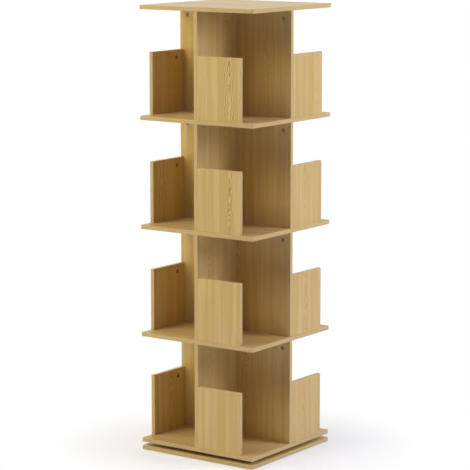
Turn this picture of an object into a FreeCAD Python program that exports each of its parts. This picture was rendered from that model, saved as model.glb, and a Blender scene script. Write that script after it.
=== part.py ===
"""Revolving bookcase: six square boards, four tiers of crossed partitions and a ball bearing turntable.

Millimetres. +Z is up and is the axis that the bookcase turns about. The origin is on the floor, under
the middle of the base board. The low panel of the -Y face lies on the +X side of the cross, and the
panels of the other faces follow from it by quarter turns.
"""
import FreeCAD, Part
import math
import os
import Sketcher

Vector = FreeCAD.Vector
Placement = FreeCAD.Placement
Rotation = FreeCAD.Rotation

X, Y, Z = Vector(1, 0, 0), Vector(0, 1, 0), Vector(0, 0, 1)
NOWHERE = Vector(0, 0, 0)
FULL_TURN = 360
QUARTERS = 4
QUARTER_TURN = FULL_TURN / QUARTERS
HALVES = 2
TIERS = 4
VOLUME_SHARE = 0.01

# Driving dimensions. Each is written once, here.
SIZES = (
    ("board_side", 400, "side of every square board"),
    ("board_thickness", 12, "thickness of boards, partitions and low panels"),
    ("tier_clearance", 309, "height between two shelves"),
    ("turntable_gap", 11, "height between base board and bottom shelf"),
    ("edge_setback", 1.5, "partitions end this far inside the boards' edges"),
    ("overrun", 1, "holes start this far outside the face that they are drilled into"),
    ("corner_radius", 2, "upright corners of the boards"),
    ("arris_radius", 0.8, "softened edges of boards, partitions and low panels"),
    ("low_panel_height", 183, "height of the low panels"),
    ("corner_opening", 42.5, "from the end of a low panel to the end of the next partition"),
    ("cam_radius", 6, "cam lock, radius"),
    ("cam_floor", 2.5, "wood left behind a cam lock"),
    ("cam_chamfer", 0.4, "edge of a cam lock's face"),
    ("cam_reach", 24, "from a board to the cam locks of the partitions below it"),
    ("cam_from_end", 26.5, "from the end of a partition to its cam lock"),
    ("panel_cam_reach", 34, "from a partition to the cam lock of its low panel"),
    ("panel_cam_drop", 23, "from the top of a low panel to its cam lock"),
    ("bolt_radius", 2.5, "cam bolt, radius"),
    ("bolt_floor", 3, "wood left in front of a cam bolt's tip"),
    ("bolt_neck_radius", 1.3, "neck that the cam lock grips behind"),
    ("bolt_neck_lead", 0.5, "the neck starts this far outside the cam lock"),
    ("bolt_head_radius", 2.2, "head of a cam bolt"),
    ("bolt_head_length", 2.6, "length of the head, centred on the cam lock"),
    ("bolt_clearance", 0.25, "round a cam bolt in its long hole and in the cam lock"),
    ("fit_clearance", 0.1, "round screws, dowels, threads and cam locks"),
    ("recess_width", 0.9, "cross recess, width of an arm"),
    ("recess_depth", 1.2, "cross recess, depth"),
    ("cam_recess_length", 6, "cross recess of a cam lock, tip to tip"),
    ("screw_recess_length", 3.6, "cross recess of a screw, tip to tip"),
    ("dowel_radius", 3, "wooden dowels, radius"),
    ("dowel_floor", 4, "wood left in front of a dowel's tip in a board's face"),
    ("dowel_bury", 17, "depth of a dowel in a board's edge"),
    ("dowel_chamfer", 0.8, "ends of the dowels"),
    ("centre_dowel_bury", 19, "depth of a long dowel in each half partition"),
    ("centre_dowel_from_end", 70, "from the top or bottom of a partition to its long dowel"),
    ("panel_dowel_from_end", 30, "from the end or bottom of a low panel to its dowels"),
    ("screw_radius", 2, "screws, radius"),
    ("screw_head_radius", 4, "screw heads, radius"),
    ("screw_tip_length", 3, "length of a screw's point"),
    ("screw_tip_radius", 0.3, "blunt end of the point"),
    ("screw_bury", 28, "depth of an assembly screw in the partition above the shelf"),
    ("screw_from_end", 45, "from the end of a half partition to its assembly screws"),
    ("ring_screw_floor", 3.5, "wood left in front of the tips of the turntable's screws"),
    ("ball_circle_radius", 85, "radius of the circle of balls"),
    ("ball_radius", 2.5, "balls of the turntable"),
    ("race_clearance", 0.05, "round a ball in its races"),
    ("ring_spacing", 0.8, "from the circle of balls to the wall of each ring"),
    ("ring_land", 22, "width of each ring"),
    ("ring_running_gap", 1, "above the lower ring and below the upper ring"),
    ("ring_chamfer", 0.5, "edges of the rings"),
    ("cage_clearance", 0.4, "from the ball cage to each ring"),
    ("cage_end_gap", 2, "above and below the ball cage"),
    ("pocket_clearance", 0.1, "round a ball in the cage"),
    ("access_hole_radius", 8, "hole in the base board for the upper ring's screws"),
    ("pad_radius", 14, "floor pads, radius"),
    ("pad_thickness", 2, "floor pads, thickness"),
    ("pad_chamfer", 0.5, "floor pads, lower edge"),
    ("pad_inset", 30, "from a board's edge to the middle of a floor pad"),
)
BALLS = 24

# Places that follow from the driving dimensions.
PLACES = (
    ("half_thickness", "Sizes.board_thickness / 2"),
    ("half_side", "Sizes.board_side / 2"),
    ("tier_pitch", "Sizes.tier_clearance + Sizes.board_thickness"),
    ("base_top", "Sizes.pad_thickness + Sizes.board_thickness"),
    ("bottom_shelf_underside", "base_top + Sizes.turntable_gap"),
    ("bottom_shelf_top", "bottom_shelf_underside + Sizes.board_thickness"),
    ("partition_end", "half_side - Sizes.edge_setback"),
    ("outer_screw", "partition_end - Sizes.screw_from_end"),
    ("inner_screw", "half_thickness + Sizes.screw_from_end"),
    ("top_dowel", "(outer_screw + inner_screw) / 2"),
    ("cam_place", "partition_end - Sizes.cam_from_end"),
    ("cam_length", "Sizes.board_thickness - Sizes.cam_floor"),
    ("cam_height", "Sizes.tier_clearance - Sizes.cam_reach"),
    ("bolt_grip", "Sizes.board_thickness - Sizes.bolt_floor"),
    ("bolt_neck_length", "Sizes.cam_radius + Sizes.bolt_neck_lead"),
    ("half_head_length", "Sizes.bolt_head_length / 2"),
    ("cam_pocket_radius", "Sizes.cam_radius + Sizes.fit_clearance"),
    ("bolt_hole_radius", "Sizes.bolt_radius + Sizes.bolt_clearance"),
    ("thread_hole_radius", "Sizes.bolt_radius + Sizes.fit_clearance"),
    ("dowel_grip", "Sizes.board_thickness - Sizes.dowel_floor"),
    ("dowel_length", "dowel_grip + Sizes.dowel_bury"),
    ("dowel_hole_radius", "Sizes.dowel_radius + Sizes.fit_clearance"),
    ("centre_dowel_length", "Sizes.board_thickness + 2 * Sizes.centre_dowel_bury"),
    ("upper_centre_dowel", "Sizes.tier_clearance - Sizes.centre_dowel_from_end"),
    ("panel_end", "partition_end - Sizes.corner_opening"),
    ("panel_inner_face", "partition_end - Sizes.board_thickness"),
    ("panel_middle", "partition_end - half_thickness"),
    ("panel_cam_place", "half_thickness + Sizes.panel_cam_reach"),
    ("panel_cam_height", "Sizes.low_panel_height - Sizes.panel_cam_drop"),
    ("panel_dowel_place", "panel_end - Sizes.panel_dowel_from_end"),
    ("screw_hole_radius", "Sizes.screw_radius + Sizes.fit_clearance"),
    ("screw_sink_radius", "Sizes.screw_head_radius + Sizes.fit_clearance"),
    ("screw_head_depth", "Sizes.screw_head_radius - Sizes.screw_radius"),
    ("screw_length", "Sizes.board_thickness + Sizes.screw_bury"),
    ("ring_height", "Sizes.turntable_gap - Sizes.ring_running_gap"),
    ("race_height", "base_top + Sizes.turntable_gap / 2"),
    ("race_radius", "Sizes.ball_radius + Sizes.race_clearance"),
    ("lower_ring_outer", "Sizes.ball_circle_radius - Sizes.ring_spacing"),
    ("lower_ring_inner", "lower_ring_outer - Sizes.ring_land"),
    ("lower_ring_screw", "(lower_ring_outer + lower_ring_inner) / 2"),
    ("lower_ring_top", "base_top + ring_height"),
    ("upper_ring_inner", "Sizes.ball_circle_radius + Sizes.ring_spacing"),
    ("upper_ring_outer", "upper_ring_inner + Sizes.ring_land"),
    ("upper_ring_screw", "(upper_ring_outer + upper_ring_inner) / 2"),
    ("upper_ring_low", "bottom_shelf_underside - ring_height"),
    ("upper_screw_side", "upper_ring_screw / sqrt(2)"),
    ("ring_screw_grip", "Sizes.board_thickness - Sizes.ring_screw_floor"),
    ("ring_screw_length", "ring_height + ring_screw_grip"),
    ("cage_inner", "lower_ring_outer + Sizes.cage_clearance"),
    ("cage_outer", "upper_ring_inner - Sizes.cage_clearance"),
    ("cage_low", "base_top + Sizes.cage_end_gap"),
    ("cage_high", "bottom_shelf_underside - Sizes.cage_end_gap"),
    ("pocket_radius", "Sizes.ball_radius + Sizes.pocket_clearance"),
    ("pad_place", "half_side - Sizes.pad_inset"),
)

doc = FreeCAD.newDocument("RevolvingBookcase")
sizes = doc.addObject("Spreadsheet::Sheet", "Sizes")
places = doc.addObject("Spreadsheet::Sheet", "Places")
for row, (name, number, meaning) in enumerate(SIZES, start=1):
    sizes.set(f"A{row}", name)
    sizes.set(f"B{row}", str(number))
    sizes.set(f"C{row}", meaning)
    sizes.setAlias(f"B{row}", name)
for row, (name, formula) in enumerate(PLACES, start=1):
    places.set(f"A{row}", name)
    places.set(f"B{row}", "=" + formula)
    places.setAlias(f"B{row}", name)
doc.recompute()


def size(name):
    """A driving dimension's number."""
    return float(sizes.get(name))


def place(name):
    """A worked-out place's number."""
    return float(places.get(name))


def bind(item, **formulas):
    """Ties properties of an object to the sheets."""
    for name, formula in formulas.items():
        item.setExpression(name, formula)


def bind_base(item, start):
    """Ties an object's position to three formulas, or to the origin where one is zero."""
    for axis, formula in zip("xyz", start):
        if formula:
            item.setExpression(f"Placement.Base.{axis}", formula)


def new_body(label):
    """An empty body with its own label."""
    body = doc.addObject("PartDesign::Body", label)
    body.Label = label
    return body


def origin_part(body, role):
    """One of a body's own origin planes or axes."""
    return next(item for item in body.Origin.OriginFeatures if item.Role == role)


def rectangle(body, role, left, right, low, high):
    """A rectangle on a body's own plane, with each side tied to a formula."""
    sketch = body.newObject("Sketcher::SketchObject", "Outline")
    sketch.AttachmentSupport = [(origin_part(body, role), "")]
    sketch.MapMode = "FlatFace"
    corners = (NOWHERE, X, X + Y, Y)
    count = len(corners)
    for side in range(count):
        sketch.addGeometry(Part.LineSegment(corners[side], corners[(side + 1) % count]))
    for side in range(count):
        sketch.addConstraint(Sketcher.Constraint("Coincident", side, 2, (side + 1) % count, 1))
        sketch.addConstraint(Sketcher.Constraint("Vertical" if side % 2 else "Horizontal", side))
    edges = (
        ("left", "DistanceX", 0, left),
        ("right", "DistanceX", 1, right),
        ("low", "DistanceY", 0, low),
        ("high", "DistanceY", 2, high),
    )
    for name, kind, side, formula in edges:
        index = sketch.addConstraint(Sketcher.Constraint(kind, -1, 1, side, 1, 0.0))
        sketch.renameConstraint(index, name)
        sketch.setExpression("Constraints." + name, formula)
    return sketch


def pad(body, sketch, length):
    """Gives a sketch its thickness."""
    feature = body.newObject("PartDesign::Pad", "Thickness")
    feature.Profile = sketch
    bind(feature, Length=length)
    doc.recompute()


def soften(body, radius, wanted):
    """Rounds the straight edges of a body's last feature for which wanted(middle, direction) holds."""
    base = body.Tip
    names = []
    for number, edge in enumerate(base.Shape.Edges, start=1):
        first, last = (vertex.Point for vertex in edge.Vertexes[:2])
        along = (last - first).normalize()
        if wanted(edge.CenterOfMass, along):
            names.append(f"Edge{number}")
    feature = body.newObject("PartDesign::Fillet", "Soften")
    feature.Base = (base, names)
    bind(feature, Radius=radius)
    doc.recompute()


def bore(body, start, direction, radius, depth):
    """A round hole from start, along direction, exactly as long as asked."""
    hole = body.newObject("PartDesign::SubtractiveCylinder", "Hole")
    hole.Placement = Placement(NOWHERE, Rotation(Z, direction))
    bind(hole, Radius=radius, Height=depth)
    bind_base(hole, start)


def backed_off(start, direction):
    """The formulas of start, moved out of the face by the overrun."""
    return [
        f"{formula} - {component:.0f} * Sizes.overrun" if component else formula
        for formula, component in zip(start, direction)
    ]


def drill(body, start, direction, radius, depth):
    """A blind hole, drilled into a face at start."""
    bore(body, backed_off(start, direction), direction, radius, f"{depth} + Sizes.overrun")


def drill_through(body, start, direction, radius, thickness):
    """A hole right through, from the face at start to the one a thickness behind it."""
    bore(body, backed_off(start, direction), direction, radius, f"{thickness} + 2 * Sizes.overrun")


def countersink(body, start, direction):
    """The seat of a screw head, a cone of 45 degrees, so that the overrun widens it by as much."""
    seat = body.newObject("PartDesign::SubtractiveCone", "Seat")
    seat.Placement = Placement(NOWHERE, Rotation(Z, direction))
    bind(seat, Radius1="Places.screw_sink_radius + Sizes.overrun", Radius2="Places.screw_hole_radius",
         Height="Places.screw_head_depth + Sizes.overrun")
    bind_base(seat, backed_off(start, direction))


def turn_last_hole(body, count):
    """Repeats the hole made last about the body's own Z axis."""
    hole = body.Tip
    pattern = body.newObject("PartDesign::PolarPattern", "Turned")
    pattern.Originals = [hole]
    pattern.Axis = (origin_part(body, "Z_Axis"), [""])
    pattern.Angle = FULL_TURN
    pattern.Occurrences = count
    body.Tip = pattern
    doc.recompute()


def drill_round(body, count, holes):
    """Drills blind holes and repeats each of them about the body's own Z axis."""
    for start, direction, radius, depth in holes:
        drill(body, start, direction, radius, depth)
        turn_last_hole(body, count)


# Square boards

def square_board(label, underside):
    """A square board with softened corners and edges, its underside at z = 0 of the body."""
    body = new_body(label)
    sketch = rectangle(body, "XY_Plane", "-Places.half_side", "Places.half_side",
                       "-Places.half_side", "Places.half_side")
    pad(body, sketch, "Sizes.board_thickness")
    soften(body, "Sizes.corner_radius", lambda middle, along: abs(along.z) > abs(along.x) + abs(along.y))
    soften(body, "Sizes.arris_radius", lambda middle, along: abs(along.z) < abs(along.x) + abs(along.y))
    bind_base(body, (0, 0, underside))
    return body


def holes_for_partitions_below(body):
    """Threads of the cam bolts and blind dowel holes in the underside."""
    drill_round(body, QUARTERS, (
        (("Places.cam_place", 0, 0), Z, "Places.thread_hole_radius", "Places.bolt_grip"),
        (("Places.top_dowel", 0, 0), Z, "Places.dowel_hole_radius", "Places.dowel_grip"),
    ))


def holes_for_partitions_above(body):
    """Countersunk screw holes, and the blind holes of the low panels' dowels in the top."""
    for station in ("Places.inner_screw", "Places.outer_screw"):
        drill_through(body, (station, 0, 0), Z, "Places.screw_hole_radius", "Sizes.board_thickness")
        turn_last_hole(body, QUARTERS)
        countersink(body, (station, 0, 0), Z)
        turn_last_hole(body, QUARTERS)
    top = ("Places.panel_dowel_place", "-Places.panel_middle", "Sizes.board_thickness")
    drill_round(body, QUARTERS, ((top, -Z, "Places.dowel_hole_radius", "Places.dowel_grip"),))


UPPER_SCREW = ("Places.upper_screw_side", "Places.upper_screw_side", 0)

base_board = square_board("base_board", "Sizes.pad_thickness")
lower_ring_hole = ("Places.lower_ring_screw", 0, "Sizes.board_thickness")
drill_round(base_board, QUARTERS,
            ((lower_ring_hole, -Z, "Places.screw_hole_radius", "Places.ring_screw_grip"),))
drill_through(base_board, UPPER_SCREW, Z, "Sizes.access_hole_radius", "Sizes.board_thickness")

bottom_shelf = square_board("bottom_shelf", "Places.bottom_shelf_underside")
holes_for_partitions_above(bottom_shelf)
drill_round(bottom_shelf, QUARTERS,
            ((UPPER_SCREW, Z, "Places.screw_hole_radius", "Places.ring_screw_grip"),))

nodes = [base_board, bottom_shelf]
for floor, label in enumerate(("lower_shelf", "middle_shelf", "upper_shelf"), start=1):
    shelf = square_board(label, f"Places.bottom_shelf_underside + {floor} * Places.tier_pitch")
    holes_for_partitions_above(shelf)
    holes_for_partitions_below(shelf)
    nodes.append(shelf)
top_board = square_board("top_board", f"Places.bottom_shelf_underside + {TIERS} * Places.tier_pitch")
holes_for_partitions_below(top_board)
nodes.append(top_board)


# Partitions and low panels. Each is drawn in the frame of its tier, with z = 0 on the shelf.

def tier_floor(tier):
    """Height of a tier's shelf, as a formula. Tier 0 is the lowest."""
    return f"Places.bottom_shelf_top + {tier} * Places.tier_pitch"


def end_edges(middle, along):
    """True for the upright edges at the free ends of a partition."""
    at_end = max(abs(middle.x), abs(middle.y)) > place("partition_end") - size("arris_radius")
    return abs(along.z) > abs(along.x) + abs(along.y) and at_end


def full_partition(tier):
    """The partition from the -X end to the +X end, with its cam locks in its -Y face."""
    body = new_body(f"full_partition_{tier + 1}")
    sketch = rectangle(body, "XY_Plane", "-Places.partition_end", "Places.partition_end",
                       "-Places.half_thickness", "Places.half_thickness")
    pad(body, sketch, "Sizes.tier_clearance")
    soften(body, "Sizes.arris_radius", end_edges)
    for sign in ("-", ""):
        drill(body, (sign + "Places.cam_place", "-Places.half_thickness", "Places.cam_height"), Y,
              "Places.cam_pocket_radius", "Places.cam_length")
    top, face = "Sizes.tier_clearance", "Places.half_thickness"
    drill_round(body, HALVES, (
        (("Places.cam_place", 0, top), -Z, "Places.bolt_hole_radius", "Sizes.cam_reach"),
        (("Places.top_dowel", 0, top), -Z, "Places.dowel_hole_radius", "Sizes.dowel_bury"),
        (("Places.inner_screw", 0, 0), Z, "Places.screw_hole_radius", "Sizes.screw_bury"),
        (("Places.outer_screw", 0, 0), Z, "Places.screw_hole_radius", "Sizes.screw_bury"),
        (("Places.panel_middle", face, "Places.panel_cam_height"), -Y, "Places.thread_hole_radius",
         "Places.bolt_grip"),
        (("Places.panel_middle", face, "Sizes.panel_dowel_from_end"), -Y, "Places.dowel_hole_radius",
         "Places.dowel_grip"),
    ))
    for height in ("Sizes.centre_dowel_from_end", "Places.upper_centre_dowel"):
        drill_through(body, (0, "-Places.half_thickness", height), Y, "Places.dowel_hole_radius",
                      "Sizes.board_thickness")
    bind_base(body, (0, 0, tier_floor(tier)))
    return body


def half_partition(tier, name, turn):
    """One arm of the cross, drawn towards -Y, with its cam lock in its -X face."""
    body = new_body(f"{name}_half_partition_{tier + 1}")
    sketch = rectangle(body, "XY_Plane", "-Places.half_thickness", "Places.half_thickness",
                       "-Places.partition_end", "-Places.half_thickness")
    pad(body, sketch, "Sizes.tier_clearance")
    soften(body, "Sizes.arris_radius", end_edges)
    drill(body, ("-Places.half_thickness", "-Places.cam_place", "Places.cam_height"), X,
          "Places.cam_pocket_radius", "Places.cam_length")
    drill(body, (0, "-Places.cam_place", "Sizes.tier_clearance"), -Z, "Places.bolt_hole_radius",
          "Sizes.cam_reach")
    drill(body, (0, "-Places.top_dowel", "Sizes.tier_clearance"), -Z, "Places.dowel_hole_radius",
          "Sizes.dowel_bury")
    for station in ("-Places.inner_screw", "-Places.outer_screw"):
        drill(body, (0, station, 0), Z, "Places.screw_hole_radius", "Sizes.screw_bury")
    drill(body, ("Places.half_thickness", "-Places.panel_middle", "Places.panel_cam_height"), -X,
          "Places.thread_hole_radius", "Places.bolt_grip")
    drill(body, ("Places.half_thickness", "-Places.panel_middle", "Sizes.panel_dowel_from_end"), -X,
          "Places.dowel_hole_radius", "Places.dowel_grip")
    for height in ("Sizes.centre_dowel_from_end", "Places.upper_centre_dowel"):
        drill(body, (0, "-Places.half_thickness", height), -Y, "Places.dowel_hole_radius",
              "Sizes.centre_dowel_bury")
    body.Placement = Placement(NOWHERE, Rotation(Z, turn))
    bind_base(body, (0, 0, tier_floor(tier)))
    return body


def low_panel(tier, name, turn):
    """The low panel of one face, drawn for the -Y face, on the +X side of the cross."""
    body = new_body(f"{name}_low_panel_{tier + 1}")
    sketch = rectangle(body, "XY_Plane", "Places.half_thickness", "Places.panel_end",
                       "-Places.partition_end", "-Places.panel_inner_face")
    pad(body, sketch, "Sizes.low_panel_height")
    small = size("arris_radius")
    high, far, near = size("low_panel_height"), place("panel_end"), place("half_thickness")

    def shown(middle, along):
        at_top = middle.z > high - small and middle.x > near + small
        at_end = middle.x > far - small and middle.z > small
        return at_top or at_end

    soften(body, "Sizes.arris_radius", shown)
    inner = "-Places.panel_inner_face"
    drill(body, ("Places.panel_cam_place", inner, "Places.panel_cam_height"), -Y,
          "Places.cam_pocket_radius", "Places.cam_length")
    drill(body, ("Places.half_thickness", "-Places.panel_middle", "Places.panel_cam_height"), X,
          "Places.bolt_hole_radius", "Sizes.panel_cam_reach")
    drill(body, ("Places.half_thickness", "-Places.panel_middle", "Sizes.panel_dowel_from_end"), X,
          "Places.dowel_hole_radius", "Sizes.dowel_bury")
    drill(body, ("Places.panel_dowel_place", "-Places.panel_middle", 0), Z,
          "Places.dowel_hole_radius", "Sizes.dowel_bury")
    body.Placement = Placement(NOWHERE, Rotation(Z, turn))
    bind_base(body, (0, 0, tier_floor(tier)))
    return body


HALF_NAMES = ("front", "back")
FACE_NAMES = ("front", "right", "back", "left")
for tier in range(TIERS):
    nodes.append(full_partition(tier))
    for half, name in enumerate(HALF_NAMES):
        nodes.append(half_partition(tier, name, half * FULL_TURN / HALVES))
    for quarter, name in enumerate(FACE_NAMES):
        nodes.append(low_panel(tier, name, quarter * QUARTER_TURN))
doc.recompute()


# Patterns of the hardware, each drawn once at the origin

def rod(body, start, radius, length):
    """Adds a round rod along +Z from start, a formula or zero."""
    feature = body.newObject("PartDesign::AdditiveCylinder", "Rod")
    bind(feature, Radius=radius, Height=length)
    bind_base(feature, (0, 0, start))


def cone(body, start, low_radius, high_radius, length):
    """Adds a cone along +Z from start."""
    feature = body.newObject("PartDesign::AdditiveCone", "Cone")
    bind(feature, Radius1=low_radius, Radius2=high_radius, Height=length)
    bind_base(feature, (0, 0, start))


def cross_recess(body, length):
    """Cuts a cross into the face at z = 0."""
    for along, across in ((length, "Sizes.recess_width"), ("Sizes.recess_width", length)):
        arm = body.newObject("PartDesign::SubtractiveBox", "Recess")
        bind(arm, Length=along, Width=across, Height="Sizes.recess_depth")
        bind_base(arm, (f"-{along} / 2", f"-{across} / 2", 0))


def break_round_edges(body, width, wanted):
    """Chamfers the circular edges of a body's last feature for which wanted(edge) holds."""
    doc.recompute()
    base = body.Tip
    names = [
        f"Edge{number}"
        for number, edge in enumerate(base.Shape.Edges, start=1)
        if isinstance(edge.Curve, Part.Circle) and wanted(edge)
    ]
    feature = body.newObject("PartDesign::Chamfer", "Broken")
    feature.Base = (base, names)
    bind(feature, Size=width)
    doc.recompute()


def cam_lock_pattern():
    """Cam lock: its face at z = 0, its body along +Z, its bolt coming in along -X from +X."""
    body = new_body("cam_lock_pattern")
    rod(body, 0, "Sizes.cam_radius", "Places.cam_length")
    half = place("cam_length") / 2
    break_round_edges(body, "Sizes.cam_chamfer", lambda edge: edge.CenterOfMass.z < half)
    drill(body, ("Sizes.cam_radius", 0, "Places.half_thickness"), -X,
          "Sizes.bolt_neck_radius + Sizes.bolt_clearance", "Sizes.cam_radius")
    bore(body, ("Places.half_head_length + Sizes.fit_clearance", 0, "Places.half_thickness"), -X,
         "Sizes.bolt_head_radius + Sizes.bolt_clearance", "Sizes.cam_radius + Sizes.bolt_head_length")
    cross_recess(body, "Sizes.cam_recess_length")
    return body


def cam_bolt_pattern(label, reach):
    """Cam bolt: its thread below z = 0, and its head round z = reach."""
    body = new_body(label)
    neck_start = f"{reach} - Places.bolt_neck_length"
    rod(body, "-Places.bolt_grip", "Sizes.bolt_radius", f"Places.bolt_grip + {neck_start}")
    rod(body, neck_start, "Sizes.bolt_neck_radius", "Places.bolt_neck_length")
    rod(body, f"{reach} - Places.half_head_length", "Sizes.bolt_head_radius", "Sizes.bolt_head_length")
    return body


def dowel_pattern(label, start, length):
    """Dowel along +Z with chamfered ends."""
    body = new_body(label)
    rod(body, start, "Sizes.dowel_radius", length)
    break_round_edges(body, "Sizes.dowel_chamfer", lambda edge: True)
    return body


def screw_pattern(label, length):
    """Countersunk screw: the flat of its head at z = 0, its point along +Z."""
    body = new_body(label)
    rod(body, 0, "Sizes.screw_radius", f"{length} - Sizes.screw_tip_length")
    cone(body, 0, "Sizes.screw_head_radius", "Sizes.screw_radius", "Places.screw_head_depth")
    cone(body, f"{length} - Sizes.screw_tip_length", "Sizes.screw_radius", "Sizes.screw_tip_radius",
         "Sizes.screw_tip_length")
    cross_recess(body, "Sizes.screw_recess_length")
    return body


def floor_pad_pattern():
    """Round floor pad with a broken lower edge."""
    body = new_body("floor_pad_pattern")
    rod(body, 0, "Sizes.pad_radius", "Sizes.pad_thickness")
    half = size("pad_thickness") / 2
    break_round_edges(body, "Sizes.pad_chamfer", lambda edge: edge.CenterOfMass.z < half)
    return body


def facing(origin, x_direction, z_direction):
    """A frame at origin with its X and Z along two directions."""
    return Placement(origin, Rotation(x_direction, z_direction.cross(x_direction), z_direction, "ZXY"))


def turned(frame, turn, height):
    """A frame turned about the axis of the bookcase, then lifted."""
    return Placement(Z * height, Rotation(Z, turn)) * frame


def quarter_copies(frames, heights):
    """The four quarter turns of each frame, at each height."""
    return [
        turned(frame, quarter * QUARTER_TURN, height)
        for height in heights
        for quarter in range(QUARTERS)
        for frame in frames
    ]


def group(label, shape, frames):
    """One node of separate, identical solids."""
    node = doc.addObject("Part::Feature", label)
    node.Label = label
    solids = []
    for frame in frames:
        solid = shape.copy()
        solid.Placement = frame
        solids.append(solid)
    node.Shape = Part.makeCompound(solids)
    node.Placement = Placement()
    nodes.append(node)


# Hardware of the tiers

tier_floors = [place("bottom_shelf_top") + tier * place("tier_pitch") for tier in range(TIERS)]
half_thickness, panel_middle = place("half_thickness"), place("panel_middle")
cam_place, cam_height = place("cam_place"), place("cam_height")
ceiling, panel_dowel_low = size("tier_clearance"), size("panel_dowel_from_end")

cam_frames = []
for height in tier_floors:
    for side_place in (-cam_place, cam_place):
        frame = facing(Vector(side_place, -half_thickness, cam_height), Z, Y)
        cam_frames.append(turned(frame, 0, height))
    for half in range(HALVES):
        frame = facing(Vector(-half_thickness, -cam_place, cam_height), Z, X)
        cam_frames.append(turned(frame, half * FULL_TURN / HALVES, height))
panel_cam = Vector(place("panel_cam_place"), -place("panel_inner_face"), place("panel_cam_height"))
cam_frames += quarter_copies([facing(panel_cam, -X, -Y)], tier_floors)

partition_bolts = quarter_copies([facing(Vector(cam_place, 0, ceiling), X, -Z)], tier_floors)
panel_bolt = Vector(half_thickness, -panel_middle, place("panel_cam_height"))
panel_bolts = quarter_copies([facing(panel_bolt, Z, X)], tier_floors)

dowel_frames = quarter_copies([
    facing(Vector(place("top_dowel"), 0, ceiling), X, -Z),
    facing(Vector(half_thickness, -panel_middle, panel_dowel_low), Z, X),
    facing(Vector(place("panel_dowel_place"), -panel_middle, 0), X, Z),
], tier_floors)
centre_dowel_frames = [
    turned(facing(Vector(0, -place("centre_dowel_length") / 2, level), Z, Y), 0, height)
    for height in tier_floors
    for level in (size("centre_dowel_from_end"), place("upper_centre_dowel"))
]
screw_frames = quarter_copies([
    facing(Vector(place(station), 0, -size("board_thickness")), X, Z)
    for station in ("inner_screw", "outer_screw")
], tier_floors)

doc.recompute()
cam_lock = cam_lock_pattern()
partition_bolt = cam_bolt_pattern("partition_cam_bolt_pattern", "Sizes.cam_reach")
low_panel_bolt = cam_bolt_pattern("panel_cam_bolt_pattern", "Sizes.panel_cam_reach")
dowel = dowel_pattern("dowel_pattern", "-Places.dowel_grip", "Places.dowel_length")
centre_dowel = dowel_pattern("centre_dowel_pattern", 0, "Places.centre_dowel_length")
assembly_screw = screw_pattern("assembly_screw_pattern", "Places.screw_length")
ring_screw = screw_pattern("turntable_screw_pattern", "Places.ring_screw_length")
floor_pad = floor_pad_pattern()
doc.recompute()

group("cam_locks", cam_lock.Shape, cam_frames)
group("partition_cam_bolts", partition_bolt.Shape, partition_bolts)
group("panel_cam_bolts", low_panel_bolt.Shape, panel_bolts)
group("dowels", dowel.Shape, dowel_frames)
group("centre_dowels", centre_dowel.Shape, centre_dowel_frames)
group("assembly_screws", assembly_screw.Shape, screw_frames)


# Turntable and floor pads

def turned_ring(label, inner, outer, low, high):
    """A plain ring about the axis of the bookcase."""
    body = new_body(label)
    section = rectangle(body, "XZ_Plane", inner, outer, low, high)
    feature = body.newObject("PartDesign::Revolution", "Turned")
    feature.Profile = section
    feature.ReferenceAxis = (section, ["V_Axis"])
    feature.Angle = FULL_TURN
    doc.recompute()
    return body


def bearing_ring(label, inner, outer, low, screw, screw_start, screw_direction):
    """A ring with a ball race and four countersunk screw holes."""
    body = turned_ring(label, inner, outer, low, f"{low} + Places.ring_height")
    break_round_edges(body, "Sizes.ring_chamfer", lambda edge: True)
    race = body.newObject("PartDesign::SubtractiveTorus", "Race")
    bind(race, Radius1="Sizes.ball_circle_radius", Radius2="Places.race_radius")
    bind_base(race, (0, 0, "Places.race_height"))
    start = (screw[0], screw[1], screw_start)
    drill_through(body, start, screw_direction, "Places.screw_hole_radius", "Places.ring_height")
    turn_last_hole(body, QUARTERS)
    countersink(body, start, screw_direction)
    turn_last_hole(body, QUARTERS)
    nodes.append(body)


bearing_ring("turntable_lower_ring", "Places.lower_ring_inner", "Places.lower_ring_outer",
             "Places.base_top", ("Places.lower_ring_screw", 0), "Places.lower_ring_top", -Z)
bearing_ring("turntable_upper_ring", "Places.upper_ring_inner", "Places.upper_ring_outer",
             "Places.upper_ring_low", UPPER_SCREW, "Places.upper_ring_low", Z)

ball_cage = turned_ring("turntable_ball_cage", "Places.cage_inner", "Places.cage_outer", "Places.cage_low",
                        "Places.cage_high")
bore(ball_cage, ("Places.lower_ring_outer", 0, "Places.race_height"), X, "Places.pocket_radius",
     "2 * Sizes.ring_spacing")
turn_last_hole(ball_cage, BALLS)
nodes.append(ball_cage)

ball_place = Placement(Vector(size("ball_circle_radius"), 0, place("race_height")), Rotation())
ball_frames = [turned(ball_place, number * FULL_TURN / BALLS, 0) for number in range(BALLS)]
group("turntable_balls", Part.makeSphere(size("ball_radius")), ball_frames)

lower_screw = facing(Vector(place("lower_ring_screw"), 0, place("lower_ring_top")), X, -Z)
upper_side = place("upper_screw_side")
upper_screw = facing(Vector(upper_side, upper_side, place("upper_ring_low")), X, Z)
group("lower_ring_screws", ring_screw.Shape, quarter_copies([lower_screw], [0]))
group("upper_ring_screws", ring_screw.Shape, quarter_copies([upper_screw], [0]))

pad_corner = Placement(Vector(place("pad_place"), place("pad_place"), 0), Rotation())
group("floor_pads", floor_pad.Shape, quarter_copies([pad_corner], [0]))


# Checks and files

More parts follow.
